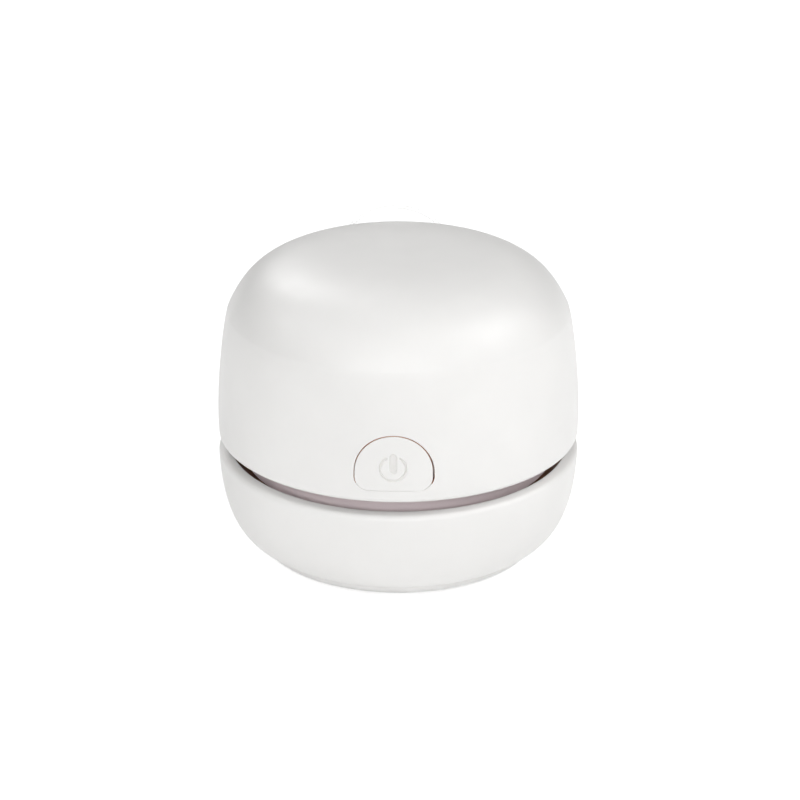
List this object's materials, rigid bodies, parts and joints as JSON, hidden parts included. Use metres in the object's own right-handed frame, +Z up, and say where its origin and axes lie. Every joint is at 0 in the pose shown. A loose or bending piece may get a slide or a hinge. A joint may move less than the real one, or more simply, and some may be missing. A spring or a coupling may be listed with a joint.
{
  "type": "desktop vacuum cleaner",
  "caption": "Domed mini vacuum for a desk: motor housing plugs into a round dust cup with a brush ring, filter, fan, cell and power button.",
  "frame": {"origin": "centre of the glide feet's rest plane, on the fan's axis, at the middle of the bounding box's bottom", "axes": "+Z up along the fan's axis, -Y the front with the power button, +Y the back with the charging socket, +X to the viewer's right from the front"},
  "size_m": [0.084, 0.084, 0.0712],
  "materials": {
    "shell_white": "satin moulded ABS",
    "button_white": "satin moulded ABS",
    "base_white": "satin moulded ABS",
    "loop_white": "soft moulded elastomer",
    "neck_mauve": "fine matt moulded plastic",
    "collar_dark": "matt brown plastic",
    "seal_rubber": "matt rubber",
    "foot_rubber": "matt elastomer",
    "gasket_foam": "closed foam",
    "filter_plastic": "matt moulded plastic",
    "filter_paper": "folded filter paper",
    "inner_plastic": "matt moulded plastic",
    "bell_plastic": "matt moulded plastic",
    "impeller_plastic": "matt moulded plastic",
    "bristle_grey": "nylon bristles",
    "switch_black": "matt plastic",
    "chip_black": "matt moulded",
    "board_green": "solder mask",
    "screw_steel": "zinc plated",
    "socket_steel": "plated",
    "shaft_steel": "ground",
    "motor_steel": "zinc plated",
    "armature_iron": "stamped laminations",
    "magnet_iron": "sintered ferrite",
    "coil_copper": "enamelled copper",
    "terminal_brass": "bright",
    "bush_bronze": "sintered",
    "contact_nickel": "nickel plated",
    "cell_wrap": "shrink sleeve"
  },
  "bodies": {
    "cup": {"dust_cup": "shell_white", "cup_collar": "collar_dark", "base_plate": "base_white", "base_screws": "screw_steel", "brush_ring": "bristle_grey", "glide_feet": "foot_rubber"},
    "main_body": {"top_shell": "shell_white", "hang_loop": "loop_white", "push_switch": "switch_black", "control_board": "board_green", "board_components": "chip_black", "charge_board": "board_green", "board_screws": "screw_steel", "usb_socket": "socket_steel", "battery_cell": "cell_wrap", "battery_holder": "inner_plastic", "battery_contacts": "contact_nickel", "motor_deck": "inner_plastic", "neck_housing": "neck_mauve", "neck_o_ring": "seal_rubber", "neck_screws": "screw_steel", "shell_screws": "screw_steel", "motor_can": "motor_steel", "motor_magnets": "magnet_iron", "motor_bushes": "bush_bronze", "motor_end_bell": "bell_plastic", "motor_terminals": "terminal_brass", "motor_screws": "screw_steel"},
    "filter": {"filter_frame": "filter_plastic", "filter_pleats": "filter_paper", "filter_gasket": "gasket_foam"},
    "button": {"power_button": "button_white", "switch_plunger": "switch_black"},
    "rotor": {"impeller": "impeller_plastic", "motor_shaft": "shaft_steel", "armature": "armature_iron", "armature_coils": "coil_copper", "commutator": "coil_copper"}
  },
  "joints": [
    {"name": "body_lift", "type": "slide", "parent": "cup", "child": "main_body", "axis": [0, 0, 1], "range_m": [0, 0.03]},
    {"name": "filter_pull", "type": "slide", "parent": "main_body", "child": "filter", "axis": [0, 0, -1], "range_m": [0, 0.0052]},
    {"name": "button_press", "type": "slide", "parent": "main_body", "child": "button", "axis": [0, 1, 0], "range_m": [0, 0.0008], "stiffness_N_per_m": 1500, "springref_m": -0.0003},
    {"name": "impeller_spin", "type": "hinge", "parent": "main_body", "child": "rotor", "pos_m": [0, 0, 0.0283], "axis": [0, 0, 1], "continuous": true}
  ]
}
